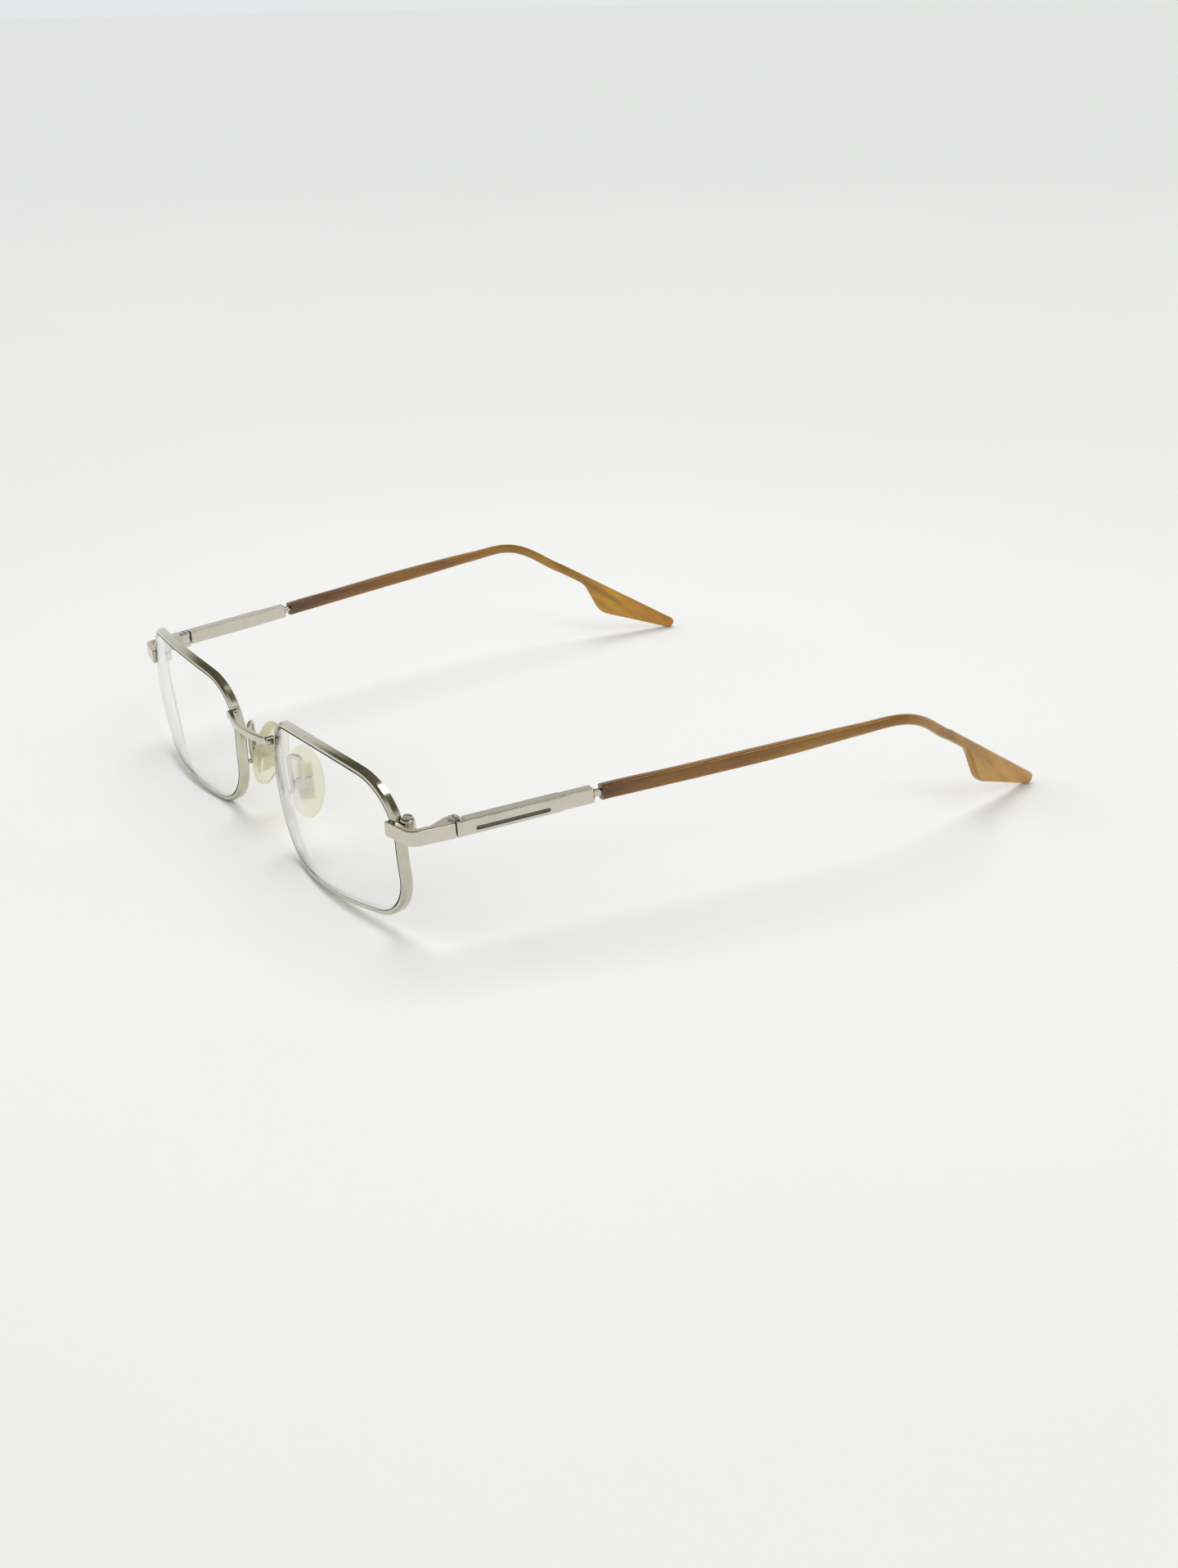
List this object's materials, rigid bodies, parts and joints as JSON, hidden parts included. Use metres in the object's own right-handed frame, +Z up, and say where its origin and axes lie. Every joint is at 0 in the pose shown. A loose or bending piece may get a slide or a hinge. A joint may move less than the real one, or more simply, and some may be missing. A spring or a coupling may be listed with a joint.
{
  "type": "eyeglasses",
  "caption": "Square metal eyeglasses, standing open, with sprung temple hinges, adjustable nose pads and acetate temple sleeves.",
  "frame": {"origin": "middle of the bounding box, on the surface that the frame stands on", "axes": "+X to the wearer's left, +Y from the front to the temple tips, +Z up"},
  "size_m": [0.1518, 0.1464, 0.0308],
  "materials": {
    "rim_metal": "polished",
    "polished_metal": "polished",
    "screw_steel": "bright",
    "lens_plastic": "clear",
    "sleeve_acetate": "glossy streaked",
    "pad_silicone": "translucent",
    "pad_silicone_core": "clear"
  },
  "bodies": {
    "front": {"bridge": "rim_metal", "rim_left": "rim_metal", "rim_right": "rim_metal", "lens_left": "lens_plastic", "lens_right": "lens_plastic", "end_piece_left": "polished_metal", "end_piece_right": "polished_metal", "rim_lock_upper_left": "polished_metal", "rim_lock_upper_right": "polished_metal", "rim_lock_lower_left": "polished_metal", "rim_lock_lower_right": "polished_metal", "rim_lock_screw_left": "screw_steel", "rim_lock_screw_right": "screw_steel", "hinge_front_left": "polished_metal", "hinge_front_right": "polished_metal", "hinge_screw_left": "screw_steel", "hinge_screw_right": "screw_steel", "pad_box_left": "polished_metal", "pad_box_right": "polished_metal", "pad_screw_left": "screw_steel", "pad_screw_right": "screw_steel", "pad_arm_left": "polished_metal", "pad_arm_right": "polished_metal"},
    "slider_left": {"hinge_slider_left": "screw_steel", "spring_rod_left": "screw_steel", "hinge_spring_left": "screw_steel"},
    "temple_left": {"spring_box_left": "polished_metal", "spring_stop_left": "screw_steel", "temple_bar_left": "polished_metal", "temple_sleeve_left": "sleeve_acetate"},
    "pad_left": {"nose_pad_left": "pad_silicone", "pad_core_left": "pad_silicone_core"},
    "slider_right": {"hinge_slider_right": "screw_steel", "spring_rod_right": "screw_steel", "hinge_spring_right": "screw_steel"},
    "temple_right": {"spring_box_right": "polished_metal", "spring_stop_right": "screw_steel", "temple_bar_right": "polished_metal", "temple_sleeve_right": "sleeve_acetate"},
    "pad_right": {"nose_pad_right": "pad_silicone", "pad_core_right": "pad_silicone_core"}
  },
  "joints": [
    {"name": "fold_left", "type": "hinge", "parent": "front", "child": "slider_left", "pos_m": [0.06332, -0.05969, 0.02165], "axis": [0, -0.049, 0.9988], "range_deg": [-5, 92]},
    {"name": "flex_left", "type": "slide", "parent": "slider_left", "child": "temple_left", "axis": [0.1115, 0.9926, 0.0486], "range_m": [0, 0.0012], "stiffness_N_per_m": 450, "springref_m": -0.002, "deforming": ["hinge_spring_left"]},
    {"name": "pad_rock_left", "type": "hinge", "parent": "front", "child": "pad_left", "pos_m": [0.01111, -0.06455, 0.01334], "axis": [0.4226, 0.9052, 0.0444], "range_deg": [-8, 8]},
    {"name": "fold_right", "type": "hinge", "parent": "front", "child": "slider_right", "pos_m": [-0.06332, -0.05969, 0.02165], "axis": [0, -0.049, 0.9988], "range_deg": [-92, 5]},
    {"name": "flex_right", "type": "slide", "parent": "slider_right", "child": "temple_right", "axis": [-0.1115, 0.9926, 0.0486], "range_m": [0, 0.0012], "stiffness_N_per_m": 450, "springref_m": -0.002, "deforming": ["hinge_spring_right"]},
    {"name": "pad_rock_right", "type": "hinge", "parent": "front", "child": "pad_right", "pos_m": [-0.01111, -0.06455, 0.01334], "axis": [-0.4226, 0.9052, 0.0444], "range_deg": [-8, 8]}
  ]
}
